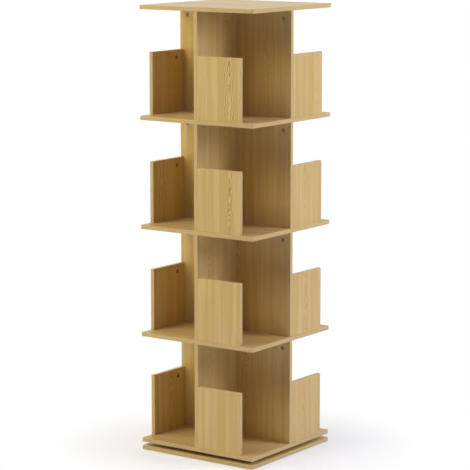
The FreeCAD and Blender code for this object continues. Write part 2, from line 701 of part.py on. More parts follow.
doc.recompute()
for item in doc.Objects:
    if {"Invalid", "Error"} & set(item.State):
        raise RuntimeError(f"{item.Label} failed: {item.State}")
for item in doc.Objects:
    if item.TypeId.startswith("PartDesign::Subtractive"):
        if item.Shape.Volume >= item.BaseFeature.Shape.Volume:
            raise RuntimeError(f"{item.Label} cuts nothing")
    if item.TypeId == "PartDesign::PolarPattern":
        (original,) = item.Originals
        once = original.BaseFeature.Shape.Volume - original.Shape.Volume
        again = item.BaseFeature.Shape.Volume - item.Shape.Volume
        if not math.isclose(again, once * (item.Occurrences - 1), rel_tol=VOLUME_SHARE):
            raise RuntimeError(f"{item.Label} lacks copies: {again:.3f} for {once:.3f} each")
os.makedirs("parts", exist_ok=True)
for node in nodes:
    if node.Shape.isNull() or not node.Shape.isValid():
        raise RuntimeError(f"{node.Label} has no valid shape")
    node.Shape.exportStep(f"parts/{node.Label}.step")
    box = node.Shape.BoundBox
    print(f"{node.Label}: {len(node.Shape.Solids)} solids, {node.Shape.Volume:.0f} mm3, "
          f"z {box.ZMin:.2f} to {box.ZMax:.2f}")
print(len(nodes), "nodes")
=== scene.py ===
# %% [markdown]
# # A revolving bookcase: its oak finish, edge bands and metal, round a model that is already built
#
# The bookcase is six square boards, four crosses of partitions and sixteen low panels, and it turns on a ball
# bearing ring above its base. Every piece already has its true shape and place. What is left is how it
# looks: a pale oak laminate, plain bands on the sawn edges, zinc cam locks, and soft light on a white floor.
#
# The model is loaded first, as a frame that nothing moves. Lengths are metres, +Z is up, and the origin is on
# the floor under the middle of the base.

import math

import bmesh
import bpy
import numpy as np
from mathutils import Euler, Matrix, Vector


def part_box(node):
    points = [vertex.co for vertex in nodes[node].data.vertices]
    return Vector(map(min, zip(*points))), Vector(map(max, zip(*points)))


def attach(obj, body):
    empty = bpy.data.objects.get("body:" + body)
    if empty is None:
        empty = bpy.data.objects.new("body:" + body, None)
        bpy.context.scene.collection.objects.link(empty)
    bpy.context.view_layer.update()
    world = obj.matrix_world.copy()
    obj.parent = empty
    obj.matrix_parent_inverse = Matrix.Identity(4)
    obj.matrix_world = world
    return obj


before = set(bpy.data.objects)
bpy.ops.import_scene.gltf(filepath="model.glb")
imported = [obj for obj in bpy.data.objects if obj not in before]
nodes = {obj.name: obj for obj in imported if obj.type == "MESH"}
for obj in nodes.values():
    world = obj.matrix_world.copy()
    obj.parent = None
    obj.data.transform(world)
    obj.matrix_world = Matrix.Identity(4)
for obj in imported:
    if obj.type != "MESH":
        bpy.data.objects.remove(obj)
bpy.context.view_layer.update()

# %% [markdown]
# ## The camera
#
# A photograph taken from far off with a long lens shows a tall object with nearly parallel sides. The camera
# here stands a little over six metres away, to the right of the front and a third of a metre above the top
# board, and it looks down at the axis of the bookcase, a hair to its left. Distance, height and angles were
# worked out from the edges of the boards and partitions. The lens follows from the focal length in pixels,
# because a sensor as wide as the picture turns pixels into millimetres in plain proportion.

# %% The camera
MM = 0.001
PICTURE_WIDTH = 470
SENSOR_WIDTH = 36
FOCAL_PIXELS = 2114.6
CAMERA_TURN = math.radians(35.491)
CAMERA_PAN = math.radians(0.0247)
CAMERA_DOWN = math.radians(9.274)
CAMERA_DISTANCE = 6.172
CAMERA_HEIGHT = 1.6488

camera_data = bpy.data.cameras.new("camera")
camera_data.sensor_width = SENSOR_WIDTH
camera_data.lens = FOCAL_PIXELS / PICTURE_WIDTH * SENSOR_WIDTH
camera = bpy.data.objects.new("camera", camera_data)
bpy.context.scene.collection.objects.link(camera)
bpy.context.scene.camera = camera
camera.location = (
    CAMERA_DISTANCE * math.sin(CAMERA_TURN),
    -CAMERA_DISTANCE * math.cos(CAMERA_TURN),
    CAMERA_HEIGHT,
)
camera.rotation_euler = Euler((math.pi / 2 - CAMERA_DOWN, 0, CAMERA_TURN + CAMERA_PAN))
camera_place = tuple(round(value, 3) for value in camera.location)
print("camera at", camera_place, "lens", round(camera_data.lens, 1), "mm")

# %% [markdown]
# ## Colours
#
# Colours are given as on a screen, where they are numbers from 0 to 255 in sRGB. Blender mixes light in
# linear values, so each colour goes through the standard curve once, where it is written. Oak needs several:
# four broad tones, the dark late wood of each ring, the tint near the heart, and the plain edge bands.


# %% Colours
def screen(red, green, blue):
    """A screen colour as linear values: small ones over 12.92, others ((c + 0.055) / 1.055) to the 2.4."""
    shares = np.array([red, green, blue]) / 255
    linear = np.where(shares <= 0.04045, shares / 12.92, ((shares + 0.055) / 1.055) ** 2.4)
    return (*linear.tolist(), 1.0)


def darker(colour, share):
    """A colour with its red, green and blue times a share."""
    return (*(channel * share for channel in colour[:3]), 1.0)


OAK_MIDDLE = screen(197, 169, 107)
OAK_PALE = screen(210, 186, 128)
OAK_ROSY = screen(204, 167, 117)
OAK_STRAW = screen(194, 168, 94)
OAK_LATE = screen(172, 137, 75)
OAK_HEART = screen(203, 163, 98)
BAND_OAK = screen(198, 175, 122)
print("oak as linear values:", [round(value, 3) for value in OAK_MIDDLE])

# %% [markdown]
# ## Writing nodes in few words
#
# A material is a graph of nodes. Small helpers keep its script readable. The first ones add a node, feed its
# sockets and do arithmetic. The others make what the finishes below are built from: masks, noises, mixed
# colours and node groups. A feed may be a number, a colour or another node's output.


# %% Nodes and arithmetic
def put(tree, kind, feeds=None, **settings):
    """Adds one node; feeds gives its inputs, by name or number, a value or another node's output."""
    node = tree.nodes.new(kind)
    for name, value in settings.items():
        setattr(node, name, value)
    for key, value in (feeds or {}).items():
        if isinstance(value, bpy.types.NodeSocket):
            tree.links.new(value, node.inputs[key])
        else:
            node.inputs[key].default_value = value
    return node


def calc(tree, operation, *terms):
    """Arithmetic on numbers: the output of a Math node."""
    return put(tree, "ShaderNodeMath", dict(enumerate(terms)), operation=operation).outputs[0]


def vector_calc(tree, operation, *terms):
    """Arithmetic on vectors: the vector output of a Vector Math node."""
    return put(tree, "ShaderNodeVectorMath", dict(enumerate(terms)), operation=operation).outputs[0]


def scaled(tree, vector, factor):
    """A vector times a number."""
    return put(tree, "ShaderNodeVectorMath", {0: vector, "Scale": factor}, operation="SCALE").outputs[0]


def parts(tree, vector):
    """The three parts of a vector, as outputs."""
    return put(tree, "ShaderNodeSeparateXYZ", {0: vector}).outputs


print("nodes can be added")

# %% Masks, noises, colours and groups
# A Mix node has sockets for each kind of data. These are the numbers of its share and of its colours.
MIX_SHARE, MIX_FIRST, MIX_SECOND, MIX_RESULT = 0, 6, 7, 2
MIDDLE_GREY = (0.5, 0.5, 0.5)


def between(tree, value, low, high, low_result=0.0, high_result=1.0):
    """Value from low to high becomes low_result to high_result, eased at both ends and held outside."""
    feeds = {"Value": value, "From Min": low, "From Max": high, "To Min": low_result, "To Max": high_result}
    return put(tree, "ShaderNodeMapRange", feeds, interpolation_type="SMOOTHSTEP").outputs["Result"]


def hump(tree, value, rise, fall):
    """0, up to 1 over the rise and down to 0 over the fall, two pairs of values: their easings multiplied."""
    return calc(tree, "MULTIPLY", between(tree, value, *rise), between(tree, value, *fall, 1.0, 0.0))


def stretched_noise(tree, place, cells, detail=2.0):
    """Smooth noise with so many cells per metre along each axis."""
    stretched = vector_calc(tree, "MULTIPLY", place, cells)
    return put(tree, "ShaderNodeTexNoise", {"Vector": stretched, "Scale": 1.0, "Detail": detail}).outputs


def swing(tree, place, cells, detail):
    """A noise that pushes to all sides alike: its colour less middle grey."""
    return vector_calc(tree, "SUBTRACT", stretched_noise(tree, place, cells, detail)["Color"], MIDDLE_GREY)


def blend_colours(tree, share, first, second):
    """The first colour at share 0, the second at share 1, and their mix between."""
    feeds = {MIX_SHARE: share, MIX_FIRST: first, MIX_SECOND: second}
    return put(tree, "ShaderNodeMix", feeds, data_type="RGBA").outputs[MIX_RESULT]


def open_group(name, inputs, outputs):
    """A node group with named sockets: its tree, what comes in, and the sockets for what goes out."""
    tree = bpy.data.node_groups.new(name, "ShaderNodeTree")
    for label, kind, value in inputs:
        socket = tree.interface.new_socket(label, in_out="INPUT", socket_type="NodeSocket" + kind)
        if value is not None:
            socket.default_value = value
    for label, kind in outputs:
        tree.interface.new_socket(label, in_out="OUTPUT", socket_type="NodeSocket" + kind)
    given = tree.nodes.new("NodeGroupInput").outputs
    made = tree.nodes.new("NodeGroupOutput").inputs
    return tree, given, made


print("masks, noises, colours and groups can be made")

# %% [markdown]
# ## Oak
#
# A board sawn beside the heart of a tree cuts its yearly rings at a slant. In the middle of such a board they
# show as tall pointed arches, and towards its sides as straight lines. So the figure isn't painted: it
# is worked out as it grows. The heart is a line behind the face that leans slowly towards it, and a point's
# ring number is its distance from that line over the width of a ring. The leaning makes the arches.
#
# Round rings would give round arches. Real ones are pointed, because a trunk is never quite round, so the
# distance is taken with an exponent under 2: the sum of both parts to the power 1.45, back to the power
# 1/1.45. The heart isn't straight either. Where it dips against its lean, an arch closes to a long eye. And
# near the heart the fibres wave, so a finer noise makes the arches flicker like a flame.
#
# A ring opens with pale early wood and ends in a dark line of late wood. No two years grow alike, so each
# has its own random boldness. The figure is strongest near the heart and fades over its spread to the calm
# straight lines at the sides. The heart has a tint too, which on some boards is darker and on some paler.
#
# Under the rings lie broad streaks in three tones, and over them fine fibres and short open pores, each a
# noise that is stretched along the grain. One group holds all of it, and each board gives it a heart, a
# boldness and a seed of its own. The low panels also choose the width of a ring, the spread and the tint.

# %% The oak group
SEED_STEP = (7.3, 4.1, 11.9)
oak, given, made = open_group(
    "oak_figure",
    inputs=[
        ("Place", "Vector", None),
        ("Heart across", "Float", 30 * MM),
        ("Heart depth", "Float", 16 * MM),
        ("Lean", "Float", 0.13),
        ("Ring width", "Float", 5.2 * MM),
        ("Spread", "Float", 24 * MM),
        ("Figure", "Float", 1.0),
        ("Heart tint", "Color", OAK_HEART),
        ("Seed", "Float", 0.0),
    ],
    outputs=[("Color", "Color"), ("Roughness", "Float"), ("Height", "Float")],
)
# The seed moves the board to its own stretch of every noise.
seeded = vector_calc(oak, "ADD", given["Place"], scaled(oak, SEED_STEP, given["Seed"]))
print("oak group opened")

# %% Rings
# Cells per metre of three noises, and the whole span over which each moves the rings: across the face,
# through the board and along the grain. The dip moves them through the board only.
WANDER_CELLS, RING_WANDER = (30, 30, 11), (7 * MM, 7 * MM, 0)
FLICKER_CELLS, FLAME = (26, 26, 62), (14 * MM, 7 * MM, 0)
DIP_CELLS, HEART_DIP = (0, 0, 12), 26 * MM
# The figure fades between these two distances from its middle, in spreads, and this much flame is left then.
FIGURE_FADE, FLAME_AT_SIDES = (0.5, 1.5), 0.1
RING_POWER = 1.45

wander = vector_calc(oak, "MULTIPLY", swing(oak, seeded, WANDER_CELLS, 3.0), RING_WANDER)
wandered = vector_calc(oak, "ADD", given["Place"], wander)
from_middle = calc(oak, "SUBTRACT", parts(oak, given["Place"])[0], given["Heart across"])
spreads_out = calc(oak, "DIVIDE", calc(oak, "ABSOLUTE", from_middle), given["Spread"])
flicker = vector_calc(oak, "MULTIPLY", swing(oak, seeded, FLICKER_CELLS, 1.0), FLAME)
flame = scaled(oak, flicker, between(oak, spreads_out, *FIGURE_FADE, 1.0, FLAME_AT_SIDES))
x, y, z = parts(oak, vector_calc(oak, "ADD", wandered, flame))

across = calc(oak, "ABSOLUTE", calc(oak, "SUBTRACT", x, given["Heart across"]))
dip = calc(oak, "MULTIPLY", stretched_noise(oak, seeded, DIP_CELLS, 0.0)["Fac"], HEART_DIP)
leaning = calc(oak, "MULTIPLY_ADD", z, given["Lean"], given["Heart depth"])
depth = calc(oak, "ABSOLUTE", calc(oak, "ADD", y, calc(oak, "ADD", leaning, dip)))
powers = calc(oak, "ADD", calc(oak, "POWER", across, RING_POWER), calc(oak, "POWER", depth, RING_POWER))
from_heart = calc(oak, "POWER", powers, 1 / RING_POWER)
rings_out = calc(oak, "DIVIDE", from_heart, given["Ring width"])
print("rings numbered:", len(oak.nodes), "nodes so far")

# %% Early and late wood
# The parts of a ring over which its pale early wood and its dark late wood rise and fall.
EARLY_WOOD = ((0.0, 0.12), (0.25, 0.5))
LATE_WOOD = ((0.3, 0.8), (0.9, 1.0))
YEAR_LEAST, YEAR_RANGE = 0.2, 0.7
FIGURE_AT_SIDES = 0.22
HEART_FADE, HEART_SHARE = (0.2, 1.0), 0.6

ring = calc(oak, "FRACT", rings_out)
late_wood = hump(oak, ring, *LATE_WOOD)
early_wood = hump(oak, ring, *EARLY_WOOD)
year = calc(oak, "ADD", calc(oak, "FLOOR", rings_out), given["Seed"])
chance = put(oak, "ShaderNodeTexWhiteNoise", {"W": year}, noise_dimensions="1D").outputs["Value"]
boldness = calc(oak, "MULTIPLY_ADD", chance, YEAR_RANGE, YEAR_LEAST)
fading = between(oak, spreads_out, *FIGURE_FADE, 1.0, FIGURE_AT_SIDES)
near_heart = calc(oak, "MULTIPLY", fading, given["Figure"])
ring_share = calc(oak, "MULTIPLY", near_heart, boldness)
heart_wood = calc(oak, "MULTIPLY", between(oak, spreads_out, *HEART_FADE, HEART_SHARE, 0.0), given["Figure"])
print("early and late wood:", len(oak.nodes), "nodes so far")

# %% Tones, fibres and pores
# For each broad tone: its colour, the cells per metre of its noise, the values of the noise between which it
# comes in, and its largest share.
TONES = (
    (OAK_PALE, (62, 62, 1.6), (0.36, 0.64), 1.0),
    (OAK_STRAW, (46, 46, 1.9), (0.52, 0.3), 0.6),
    (OAK_ROSY, (38, 38, 2.2), (0.5, 0.7), 0.6),
)
EARLY_SHARE = 0.85
FIBRE_CELLS, FIBRE_LIMITS, FIBRE_SHARE = (760, 760, 13), (0.35, 0.75), 0.28
PORE_CELLS, PORE_LIMITS, PORE_SHARE = (1500, 1500, 55), (0.6, 0.72), 0.5
GLOSS_LIMITS, OAK_ROUGHNESS = (0.3, 0.7), (0.52, 0.62)
FIBRE_HEIGHT = 0.4

colour = OAK_MIDDLE
for tone, cells, limits, share in TONES:
    patches = between(oak, stretched_noise(oak, seeded, cells)["Fac"], *limits)
    colour = blend_colours(oak, calc(oak, "MULTIPLY", patches, share), colour, tone)
colour = blend_colours(oak, heart_wood, colour, given["Heart tint"])
opened = calc(oak, "MULTIPLY", early_wood, calc(oak, "MULTIPLY", near_heart, EARLY_SHARE))
colour = blend_colours(oak, opened, colour, OAK_PALE)
colour = blend_colours(oak, calc(oak, "MULTIPLY", late_wood, ring_share), colour, OAK_LATE)
fibres = stretched_noise(oak, seeded, FIBRE_CELLS, 3.0)["Fac"]
colour = blend_colours(oak, between(oak, fibres, *FIBRE_LIMITS, 0.0, FIBRE_SHARE), colour, OAK_LATE)
pores = between(oak, stretched_noise(oak, seeded, PORE_CELLS)["Fac"], *PORE_LIMITS)
colour = blend_colours(oak, calc(oak, "MULTIPLY", pores, PORE_SHARE), colour, OAK_LATE)
oak.links.new(colour, made["Color"])
oak.links.new(between(oak, fibres, *GLOSS_LIMITS, *OAK_ROUGHNESS), made["Roughness"])
oak.links.new(calc(oak, "SUBTRACT", calc(oak, "MULTIPLY", fibres, FIBRE_HEIGHT), pores), made["Height"])
print("oak group:", len(oak.nodes), "nodes")

# %% [markdown]
# ## Worn arrises, with a painted highlight
#
# Handling polishes the corners of a board first. The paler line drawn along each arris here is partly that
# wear
# and partly a painted highlight. On a box, how far a point lies from the nearest corner line is a short sum:
# take its depth under each of the three pairs of faces, and the middle one of the three depths is the answer,
# because the smallest is zero on the surface. The middle one is the sum less the smallest and the largest. A
# noise breaks the line up, so that the wear and the painted highlight aren't even.

# %% The wear group
WEAR_AND_HIGHLIGHT_REACH = 1.6 * MM
WEAR_AND_HIGHLIGHT_CELLS, WEAR_AND_HIGHLIGHT_LIMITS = (90, 90, 90), (0.35, 0.6)
wear_and_highlight, given, made = open_group(
    "arris_wear_and_highlight",
    inputs=[
        ("Place", "Vector", None),
        ("Half size", "Vector", (0.1, 0.1, 0.1)),
        ("Reach", "Float", WEAR_AND_HIGHLIGHT_REACH),
    ],
    outputs=[("Wear_and_highlight", "Float")],
)
depths = vector_calc(wear_and_highlight, "SUBTRACT", given["Half size"], vector_calc(wear_and_highlight, "ABSOLUTE", given["Place"]))
depth_x, depth_y, depth_z = parts(wear_and_highlight, depths)
total = calc(wear_and_highlight, "ADD", calc(wear_and_highlight, "ADD", depth_x, depth_y), depth_z)
least = calc(wear_and_highlight, "MINIMUM", calc(wear_and_highlight, "MINIMUM", depth_x, depth_y), depth_z)
most = calc(wear_and_highlight, "MAXIMUM", calc(wear_and_highlight, "MAXIMUM", depth_x, depth_y), depth_z)
from_arris = calc(wear_and_highlight, "SUBTRACT", calc(wear_and_highlight, "SUBTRACT", total, least), most)
line = between(wear_and_highlight, calc(wear_and_highlight, "DIVIDE", from_arris, given["Reach"]), 0.0, 1.0, 1.0, 0.0)
broken = between(wear_and_highlight, stretched_noise(wear_and_highlight, given["Place"], WEAR_AND_HIGHLIGHT_CELLS, 3.0)["Fac"], *WEAR_AND_HIGHLIGHT_LIMITS)
wear_and_highlight.links.new(calc(wear_and_highlight, "MULTIPLY", line, broken), made["Wear_and_highlight"])
print("wear group:", len(wear_and_highlight.nodes), "nodes")

# %% [markdown]
# ## Laminate
#
# Laminate is a printed sheet under a thin clear layer. The shader's own surface is the print, nearly dull and
# a little uneven. Its coat is the clear layer: thin, plain and fairly smooth, so a face that is seen nearly
# edge on, such as the top board here, takes a soft pale sheen. Where the laminate is rubbed, it is a little
# smoother, and a little paler: partly wear and partly a painted highlight along the arrises. The faces and
# the edge bands share this finish and differ only in what they feed it.


# %% Laminate
LAMINATE_GLOSS = 0.5
LACQUER = 0.35
LACQUER_ROUGHNESS = 0.3
RUBBED_SMOOTHER = 0.08
GRAIN_RELIEF = 0.25


def surface(name):
    """An empty material with a Principled shader. Returns the material, its tree and the shader."""
    material = bpy.data.materials.new(name)
    material.use_nodes = True
    tree = material.node_tree
    return material, tree, tree.nodes["Principled BSDF"]


def finish_laminate(tree, shader, colour, roughness, height, grain_depth, rubbed_and_highlit, paler):
    """Feeds the shader with a colour, a roughness and a relief, and sets the clear layer.

    The colour is mixed with the pale one by rubbed_and_highlit times paler, a line that is partly wear and
    partly a painted highlight, and the roughness loses a little of rubbed_and_highlit.
    """
    # The arris line pales the colour: partly wear, partly a painted highlight.
    paler_wear_and_highlight = calc(tree, "MULTIPLY", rubbed_and_highlit, paler)
    tree.links.new(blend_colours(tree, paler_wear_and_highlight, colour, OAK_PALE), shader.inputs["Base Color"])
    smoother = calc(tree, "MULTIPLY", rubbed_and_highlit, RUBBED_SMOOTHER)
    tree.links.new(calc(tree, "SUBTRACT", roughness, smoother), shader.inputs["Roughness"])
    relief = {"Height": height, "Strength": GRAIN_RELIEF, "Distance": grain_depth}
    tree.links.new(put(tree, "ShaderNodeBump", relief).outputs[0], shader.inputs["Normal"])
    shader.inputs["Specular IOR Level"].default_value = LAMINATE_GLOSS
    shader.inputs["Coat Weight"].default_value = LACQUER
    shader.inputs["Coat Roughness"].default_value = LACQUER_ROUGHNESS


print("laminate can be made")

# %% [markdown]
# ## One material for each board
#
# All the boards wear the same oak, but no two real ones carry the same figure. Each gets a material of its
# own: a Mapping node takes the model's coordinates to the board's, with its middle at zero, X across the
# face, Y through the thickness and Z along the grain.


# %% Board material
# How much paler the arris line makes a board: partly wear, partly a painted highlight.
FACE_PALER = 0.35
FACE_GRAIN_DEPTH = 0.1 * MM
X, Y, Z = Vector((1, 0, 0)), Vector((0, 1, 0)), Vector((0, 0, 1))


def turned_box(node, across, through, along):
    """A board's middle and half size, and the turn that takes the model's axes to the board's own."""
    low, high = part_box(node)
    turn = Matrix((across, through, along))
    middle = turn @ ((low + high) / 2)
    half = turn @ ((high - low) / 2)
    return middle, Vector(map(abs, half)), turn


def oak_material(node, across, through, along, **figure_of_board):
    """The laminate of one board, its grain along one of the model's axes.

    A point's place in the board is the turned point less the turned middle of the board's box.
    """
    middle, half, turn = turned_box(node, across, through, along)
    material, tree, shader = surface(node + "_oak")
    seen = put(tree, "ShaderNodeTexCoord").outputs["Object"]
    mapping = {"Vector": seen, "Rotation": turn.to_euler(), "Location": -middle}
    place = put(tree, "ShaderNodeMapping", mapping).outputs[0]
    values = {label.replace("_", " ").capitalize(): value for label, value in figure_of_board.items()}
    figure = put(tree, "ShaderNodeGroup", {"Place": place, **values}, node_tree=oak).outputs
    # The line along the arrises: wear and a painted highlight.
    rubbed_and_highlit = put(tree, "ShaderNodeGroup", {"Place": place, "Half size": half}, node_tree=wear_and_highlight).outputs["Wear_and_highlight"]
    finish_laminate(tree, shader, figure["Color"], figure["Roughness"], figure["Height"], FACE_GRAIN_DEPTH,
                    rubbed_and_highlit, FACE_PALER)
    return material


def dress(node, material):
    """Gives a piece of the model one material in all its slots."""
    slots = nodes[node].data.materials
    slots.clear()
    slots.append(material)


print("a board's material is ready to be made")

# %% Boards
BOARDS = ("base_board", "bottom_shelf", "lower_shelf", "middle_shelf", "upper_shelf", "top_board")
BOARD_FIGURE = {"heart_depth": 30 * MM, "lean": 0.10, "figure": 0.6}
# A heart lies up to this far to either side of the middle of its board.
BOARD_HEARTS = 0.1
BOARD_SEED = 10

rng = np.random.default_rng(12)
for number, node in enumerate(BOARDS):
    heart = rng.uniform(-BOARD_HEARTS, BOARD_HEARTS)
    dress(node, oak_material(node, Y, Z, X, heart_across=heart, seed=BOARD_SEED + number, **BOARD_FIGURE))
print(len(BOARDS), "square boards dressed")

# %% [markdown]
# The partitions are large and calm like the boards, each with its heart somewhere at random. The low panels
# are what the eye rests on, so each has a figure that was chosen for it: some are plain, because their heart
# lies far outside the panel, some show one quiet arch, and some a bold pointed one with a pale heart.

# %% Partitions and low panels
TIERS = (1, 2, 3, 4)
FACES = {"front": (X, Y), "right": (Y, -X), "back": (-X, -Y), "left": (-Y, X)}
PARTITION_FIGURE = {"heart_depth": 30 * MM, "lean": 0.12, "figure": 0.6}
FULL_HEARTS, FULL_SEED = 0.12, 20
HALF_HEARTS, HALF_SEEDS = 0.05, (30, 60)
PANEL_HEART_DEPTH = 14 * MM
# For each low panel, from the lowest tier up: where its heart lies across it, the spread of its figure and
# the width of a ring, in millimetres, then the heart's lean, the boldness and tint of its figure, and a seed.
PANEL_FIGURES = {
    "front": (
        (-160, 24, 5.2, 0.10, 0.5, OAK_HEART, 40),
        (170, 24, 5.2, 0.10, 0.5, OAK_HEART, 44),
        (38, 13, 5.0, 0.10, 1.15, OAK_HEART, 28),
        (37, 22, 5.0, 0.00, 1.35, OAK_PALE, 10),
    ),
    "right": (
        (-16, 24, 6.0, 0.12, 0.4, OAK_HEART, 27),
        (-4, 14, 5.2, 0.04, 0.8, OAK_HEART, 6),
        (-12, 20, 5.2, 0.10, 0.6, OAK_HEART, 20),
        (46, 16, 5.0, 0.00, 0.9, OAK_PALE, 36),
    ),
    "back": (
        (30, 24, 6.0, 0.10, 1.0, OAK_HEART, 31),
        (-24, 14, 5.0, 0.10, 1.0, OAK_PALE, 17),
        (-165, 24, 5.2, 0.10, 0.5, OAK_HEART, 48),
        (10, 24, 7.0, 0.00, 1.1, OAK_HEART, 11),
    ),
    "left": (
        (-6, 18, 6.0, 0.08, 0.9, OAK_HEART, 19),
        (160, 24, 5.2, 0.10, 0.5, OAK_HEART, 52),
        (34, 22, 6.5, 0.00, 1.0, OAK_PALE, 12),
        (-20, 20, 5.2, 0.10, 0.8, OAK_HEART, 25),
    ),
}
for tier in TIERS:
    node = f"full_partition_{tier}"
    heart = rng.uniform(-FULL_HEARTS, FULL_HEARTS)
    dress(node, oak_material(node, X, Y, Z, heart_across=heart, seed=FULL_SEED + tier, **PARTITION_FIGURE))
    for half, (across, through) in {"front": (Y, -X), "back": (-Y, X)}.items():
        node = f"{half}_half_partition_{tier}"
        heart, seed = rng.uniform(-HALF_HEARTS, HALF_HEARTS), rng.uniform(*HALF_SEEDS)
        dress(node, oak_material(node, across, through, Z, heart_across=heart, seed=seed, **PARTITION_FIGURE))
    for face, (across, through) in FACES.items():
        node = f"{face}_low_panel_{tier}"
        heart, spread, ring_width, lean, strength, tint, seed = PANEL_FIGURES[face][tier - 1]
        dress(node, oak_material(node, across, through, Z, heart_across=heart * MM, spread=spread * MM,
                                 ring_width=ring_width * MM, heart_depth=PANEL_HEART_DEPTH, lean=lean,
                                 figure=strength, heart_tint=tint, seed=seed))
print(len(TIERS) * 7, "upright boards dressed")

# %% [markdown]
# ## Edge bands
#
# The laminate covers the faces, and a thin strip of plain oak is glued over each sawn edge that shows. It
# goes round both arrises and ends on the faces in a step no higher than a hair is thick. Such a strip is one
# cross-section carried along a path: round a board, up the free end of a partition, or up the end of a low
# panel and back along its top. The section is drawn once, outward and across, and numpy lays it at every
# point of the path in one sum.
#
# The texture coordinates are the distance along the path and the distance round the section, in metres, so
# the grain follows the strip round its corners. Each strip starts at its own distance, which gives it its own
# stretch of grain from one material.


# %% Section and path
ARRIS_RADIUS = 0.8 * MM
CORNER_RADIUS = 2 * MM
BAND_PROUD = 0.08 * MM
BAND_ROOT = 0.4 * MM
ROUND_POINTS = 7
WIDE, DEEP, UP = np.eye(3)
CENTRE = np.zeros(3)


def band_section(thickness):
    """A band's section, outward and across: a quarter circle round each arris, a line between, a root inside.

    The middle of each quarter circle lies one arris radius inside both faces, and a point on it is that
    middle plus the radius times the cosine and sine of an angle.
    """
    angle = np.linspace(-math.pi / 2, 0, ROUND_POINTS)
    radius = ARRIS_RADIUS + BAND_PROUD
    inset = thickness / 2 - ARRIS_RADIUS
    lower = np.column_stack((radius * np.cos(angle) - ARRIS_RADIUS, radius * np.sin(angle) - inset))
    root = np.array([(-ARRIS_RADIUS, thickness / 2 - BAND_ROOT), (-ARRIS_RADIUS, BAND_ROOT - thickness / 2)])
    return np.vstack((lower, lower[::-1] * (1, -1), root))


def turn_of_path(middle, radius, first, second):
    """A quarter circle from the first direction to the second, as rows of points and of outward directions.

    An outward direction is the cosine of an angle times the first one plus its sine times the second one, and
    a point is the middle plus the radius times that.
    """
    angle = np.linspace(0, math.pi / 2, ROUND_POINTS)[:, None]
    outward = np.cos(angle) * first + np.sin(angle) * second
    return middle + radius * outward, outward


def thickness_of(node):
    """A board's thickness: the least side of its box."""
    low, high = map(np.array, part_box(node))
    return (high - low).min()


board_thickness = float(thickness_of("top_board"))
proud = float(band_section(board_thickness)[:, 0].max())
print("a board is", round(board_thickness / MM, 2), "mm thick, its band", round(proud / MM, 2), "mm proud")


# %% A strip along a path
def run_lengths(points):
    """How far each point is along a line of points: the running sum of the distances between them."""
    steps = np.linalg.norm(np.diff(points, axis=0), axis=1)
    return np.concatenate(((0.0,), np.cumsum(steps)))


def carried_strip(points, outward, across, thickness, closed, start):
    """The section laid at every point of a path, as vertices, faces and texture coordinates.

    A vertex is the path's point, plus the section's outward part times the outward direction there, plus its
    across part times the across direction. The section closes on itself, and a closed path does too.
    """
    section = band_section(thickness)
    shape = (len(points), len(section))
    rows = section[None, :, :1] * outward[:, None, :] + section[None, :, 1:] * across
    vertices = (points[:, None, :] + rows).reshape(-1, 3)
    if closed:
        points = np.vstack((points, points[:1]))
    i, j = np.meshgrid(np.arange(len(points) - 1), np.arange(shape[1]), indexing="ij")
    i, j = i.ravel()[:, None] + (0, 1, 1, 0), j.ravel()[:, None] + (0, 0, 1, 1)
    faces = (i % shape[0]) * shape[1] + j % shape[1]
    along = start + run_lengths(points)
    around = run_lengths(np.vstack((section, section[:1])))
    around -= around[2 * ROUND_POINTS - 1] / 2
    return vertices, faces.tolist(), np.stack((along[i], around[j]), axis=-1).reshape(-1, 2)


# %% A band from its strips
BAND_STARTS = 40
MERGE_DISTANCE = 0.001 * MM
SHARP_ANGLE = math.radians(40)
band_rng = np.random.default_rng(5)


def joined_strips(strips, thickness):
    """Strips of (points, outward, across, closed) as one set of vertices, faces and texture coordinates.

    Each strip's corner numbers go up by the number of vertices before it. An open strip has capped ends.
    """
    vertices, faces, corners = np.zeros((0, 3)), [], np.zeros((0, 2))
    for points, outward, across, closed in strips:
        start = band_rng.uniform(0, BAND_STARTS)
        more, quads, uv = carried_strip(points, outward, across, thickness, closed, start)
        first, last = len(vertices), len(vertices) + len(more)
        faces += [[corner + first for corner in face] for face in quads]
        corners = np.vstack((corners, uv))
        if not closed:
            count = len(more) // len(points)
            faces += [list(range(first, first + count)), list(range(last - count, last))]
            corners = np.vstack((corners, np.full((2 * count, 2), start)))
        vertices = np.vstack((vertices, more))
    return vertices, faces, corners


def band_piece(node, strips, body):
    """One object from strips, with its doubles merged and its faces turned outwards."""
    vertices, faces, corners = joined_strips(strips, thickness_of(node))
    mesh = bpy.data.meshes.new(node + "_edge_band")
    mesh.from_pydata(vertices.tolist(), [], faces)
    mesh.uv_layers.new(name="along_the_band").data.foreach_set("uv", corners.ravel())
    work = bmesh.new()
    work.from_mesh(mesh)
    bmesh.ops.remove_doubles(work, verts=work.verts, dist=MERGE_DISTANCE)
    bmesh.ops.recalc_face_normals(work, faces=work.faces)
    work.to_mesh(mesh)
    work.free()
    mesh.shade_smooth()
    mesh.set_sharp_from_angle(angle=SHARP_ANGLE)
    mesh.materials.append(band_oak)
    piece = bpy.data.objects.new(node + "_edge_band", mesh)
    bpy.context.scene.collection.objects.link(piece)
    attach(piece, body)


print("bands can be made")

# %% [markdown]
# The strip's own finish has straight fine grain along its length. Its wear and painted highlight are a line
# down each arris, which in texture coordinates is a fixed distance from the middle of the strip: half the
# flat part of the section and half a quarter circle.

# %% Band material
# Cells per metre along the strip and round it.
SLOW_CELLS, SLOW_LIMITS, SLOW_SHARE = (5, 130, 0), (0.35, 0.65), 0.7
FINE_CELLS, FINE_SHARE = (16, 1300, 0), 0.25
DASH_CELLS, DASH_SHARE = (70, 2200, 0), 0.4
